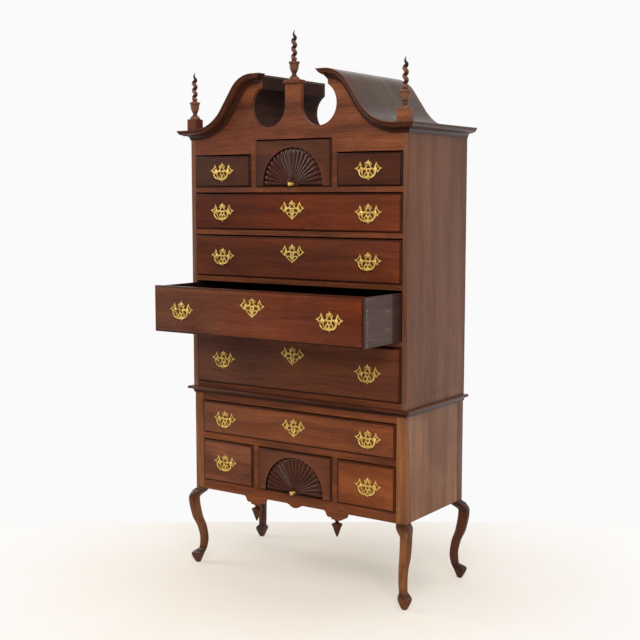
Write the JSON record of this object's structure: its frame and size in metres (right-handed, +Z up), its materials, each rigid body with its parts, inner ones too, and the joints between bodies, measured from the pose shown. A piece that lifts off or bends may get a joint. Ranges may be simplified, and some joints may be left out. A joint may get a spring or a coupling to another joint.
{
  "type": "highboy",
  "caption": "Bonnet-top highboy: an upper chest with swan-neck pediment and corkscrew finials on a lower case with cabriole legs, with sliding drawers and swinging bails.",
  "frame": {"origin": "on the floor under the middle of the whole, with one drawer open at rest", "axes": "+Z up, +Y from the drawer fronts to the back, +X to the right of a viewer who faces the drawers"},
  "size_m": [1.12, 0.7662, 2.2],
  "materials": {
    "case_wood": "polished red-brown hardwood",
    "drawer_wood": "polished red-brown hardwood, plain boards behind the front",
    "secondary_wood": "plain unpolished boards",
    "brass": "aged polished brass"
  },
  "bodies": {
    "root": {"leg_front_left": "case_wood", "leg_front_right": "case_wood", "leg_rear_left": "case_wood", "leg_rear_right": "case_wood", "lower_side_panels": "case_wood", "lower_back_panel": "secondary_wood", "lower_rails": "case_wood", "apron": "case_wood", "apron_drops": "case_wood", "lower_runners": "secondary_wood", "upper_sides": "case_wood", "upper_bottom_board": "secondary_wood", "upper_top_board": "secondary_wood", "upper_rails": "case_wood", "upper_runners": "secondary_wood", "pediment_board": "case_wood", "upper_back_panel": "secondary_wood", "bonnet_right": "case_wood", "bonnet_left": "case_wood", "plinth_blocks": "case_wood", "waist_moulding": "case_wood", "cornice_right": "case_wood", "cornice_left": "case_wood", "finials": "case_wood"},
    "small_drawer_top_left": {"small_drawer_top_left": "drawer_wood", "small_drawer_top_left_brasses": "brass"},
    "small_drawer_top_left_bail": {"small_drawer_top_left_bail": "brass"},
    "shell_drawer_top": {"shell_drawer_top": "drawer_wood", "shell_drawer_top_brasses": "brass"},
    "small_drawer_top_right": {"small_drawer_top_right": "drawer_wood", "small_drawer_top_right_brasses": "brass"},
    "small_drawer_top_right_bail": {"small_drawer_top_right_bail": "brass"},
    "long_drawer_1": {"long_drawer_1": "drawer_wood", "long_drawer_1_brasses": "brass"},
    "long_drawer_1_bail_left": {"long_drawer_1_bail_left": "brass"},
    "long_drawer_1_bail_right": {"long_drawer_1_bail_right": "brass"},
    "long_drawer_2": {"long_drawer_2": "drawer_wood", "long_drawer_2_brasses": "brass"},
    "long_drawer_2_bail_left": {"long_drawer_2_bail_left": "brass"},
    "long_drawer_2_bail_right": {"long_drawer_2_bail_right": "brass"},
    "long_drawer_3": {"long_drawer_3": "drawer_wood", "long_drawer_3_brasses": "brass"},
    "long_drawer_3_bail_left": {"long_drawer_3_bail_left": "brass"},
    "long_drawer_3_bail_right": {"long_drawer_3_bail_right": "brass"},
    "long_drawer_4": {"long_drawer_4": "drawer_wood", "long_drawer_4_brasses": "brass"},
    "long_drawer_4_bail_left": {"long_drawer_4_bail_left": "brass"},
    "long_drawer_4_bail_right": {"long_drawer_4_bail_right": "brass"},
    "long_drawer_5": {"long_drawer_5": "drawer_wood", "long_drawer_5_brasses": "brass"},
    "long_drawer_5_bail_left": {"long_drawer_5_bail_left": "brass"},
    "long_drawer_5_bail_right": {"long_drawer_5_bail_right": "brass"},
    "small_drawer_bottom_left": {"small_drawer_bottom_left": "drawer_wood", "small_drawer_bottom_left_brasses": "brass"},
    "small_drawer_bottom_left_bail": {"small_drawer_bottom_left_bail": "brass"},
    "shell_drawer_bottom": {"shell_drawer_bottom": "drawer_wood", "shell_drawer_bottom_brasses": "brass"},
    "small_drawer_bottom_right": {"small_drawer_bottom_right": "drawer_wood", "small_drawer_bottom_right_brasses": "brass"},
    "small_drawer_bottom_right_bail": {"small_drawer_bottom_right_bail": "brass"}
  },
  "joints": [
    {"name": "small_drawer_top_left_slide", "type": "slide", "parent": "root", "child": "small_drawer_top_left", "axis": [0, -1, 0], "range_m": [0, 0.36]},
    {"name": "small_drawer_top_left_bail_swing", "type": "hinge", "parent": "small_drawer_top_left", "child": "small_drawer_top_left_bail", "pos_m": [-0.35, -0.12194, 1.66275], "axis": [-1, 0, 0], "range_deg": [0, 165]},
    {"name": "shell_drawer_top_slide", "type": "slide", "parent": "root", "child": "shell_drawer_top", "axis": [0, -1, 0], "range_m": [0, 0.36]},
    {"name": "small_drawer_top_right_slide", "type": "slide", "parent": "root", "child": "small_drawer_top_right", "axis": [0, -1, 0], "range_m": [0, 0.36]},
    {"name": "small_drawer_top_right_bail_swing", "type": "hinge", "parent": "small_drawer_top_right", "child": "small_drawer_top_right_bail", "pos_m": [0.35, -0.12194, 1.66275], "axis": [-1, 0, 0], "range_deg": [0, 165]},
    {"name": "long_drawer_1_slide", "type": "slide", "parent": "root", "child": "long_drawer_1", "axis": [0, -1, 0], "range_m": [0, 0.36]},
    {"name": "long_drawer_1_bail_left_swing", "type": "hinge", "parent": "long_drawer_1", "child": "long_drawer_1_bail_left", "pos_m": [-0.35, -0.12194, 1.50125], "axis": [-1, 0, 0], "range_deg": [0, 165]},
    {"name": "long_drawer_1_bail_right_swing", "type": "hinge", "parent": "long_drawer_1", "child": "long_drawer_1_bail_right", "pos_m": [0.35, -0.12194, 1.50125], "axis": [-1, 0, 0], "range_deg": [0, 165]},
    {"name": "long_drawer_2_slide", "type": "slide", "parent": "root", "child": "long_drawer_2", "axis": [0, -1, 0], "range_m": [0, 0.36]},
    {"name": "long_drawer_2_bail_left_swing", "type": "hinge", "parent": "long_drawer_2", "child": "long_drawer_2_bail_left", "pos_m": [-0.35, -0.12194, 1.31975], "axis": [-1, 0, 0], "range_deg": [0, 165]},
    {"name": "long_drawer_2_bail_right_swing", "type": "hinge", "parent": "long_drawer_2", "child": "long_drawer_2_bail_right", "pos_m": [0.35, -0.12194, 1.31975], "axis": [-1, 0, 0], "range_deg": [0, 165]},
    {"name": "long_drawer_3_slide", "type": "slide", "parent": "root", "child": "long_drawer_3", "axis": [0, -1, 0], "range_m": [-0.258, 0.102]},
    {"name": "long_drawer_3_bail_left_swing", "type": "hinge", "parent": "long_drawer_3", "child": "long_drawer_3_bail_left", "pos_m": [-0.35, -0.37994, 1.11825], "axis": [-1, 0, 0], "range_deg": [0, 165]},
    {"name": "long_drawer_3_bail_right_swing", "type": "hinge", "parent": "long_drawer_3", "child": "long_drawer_3_bail_right", "pos_m": [0.35, -0.37994, 1.11825], "axis": [-1, 0, 0], "range_deg": [0, 165]},
    {"name": "long_drawer_4_slide", "type": "slide", "parent": "root", "child": "long_drawer_4", "axis": [0, -1, 0], "range_m": [0, 0.36]},
    {"name": "long_drawer_4_bail_left_swing", "type": "hinge", "parent": "long_drawer_4", "child": "long_drawer_4_bail_left", "pos_m": [-0.35, -0.12194, 0.89575], "axis": [-1, 0, 0], "range_deg": [0, 165]},
    {"name": "long_drawer_4_bail_right_swing", "type": "hinge", "parent": "long_drawer_4", "child": "long_drawer_4_bail_right", "pos_m": [0.35, -0.12194, 0.89575], "axis": [-1, 0, 0], "range_deg": [0, 165]},
    {"name": "long_drawer_5_slide", "type": "slide", "parent": "root", "child": "long_drawer_5", "axis": [0, -1, 0], "range_m": [0, 0.36]},
    {"name": "long_drawer_5_bail_left_swing", "type": "hinge", "parent": "long_drawer_5", "child": "long_drawer_5_bail_left", "pos_m": [-0.35, -0.11694, 0.64225], "axis": [-1, 0, 0], "range_deg": [0, 165]},
    {"name": "long_drawer_5_bail_right_swing", "type": "hinge", "parent": "long_drawer_5", "child": "long_drawer_5_bail_right", "pos_m": [0.35, -0.11694, 0.64225], "axis": [-1, 0, 0], "range_deg": [0, 165]},
    {"name": "small_drawer_bottom_left_slide", "type": "slide", "parent": "root", "child": "small_drawer_bottom_left", "axis": [0, -1, 0], "range_m": [0, 0.36]},
    {"name": "small_drawer_bottom_left_bail_swing", "type": "hinge", "parent": "small_drawer_bottom_left", "child": "small_drawer_bottom_left_bail", "pos_m": [-0.35, -0.11694, 0.45725], "axis": [-1, 0, 0], "range_deg": [0, 165]},
    {"name": "shell_drawer_bottom_slide", "type": "slide", "parent": "root", "child": "shell_drawer_bottom", "axis": [0, -1, 0], "range_m": [0, 0.36]},
    {"name": "small_drawer_bottom_right_slide", "type": "slide", "parent": "root", "child": "small_drawer_bottom_right", "axis": [0, -1, 0], "range_m": [0, 0.36]},
    {"name": "small_drawer_bottom_right_bail_swing", "type": "hinge", "parent": "small_drawer_bottom_right", "child": "small_drawer_bottom_right_bail", "pos_m": [0.35, -0.11694, 0.45725], "axis": [-1, 0, 0], "range_deg": [0, 165]}
  ]
}
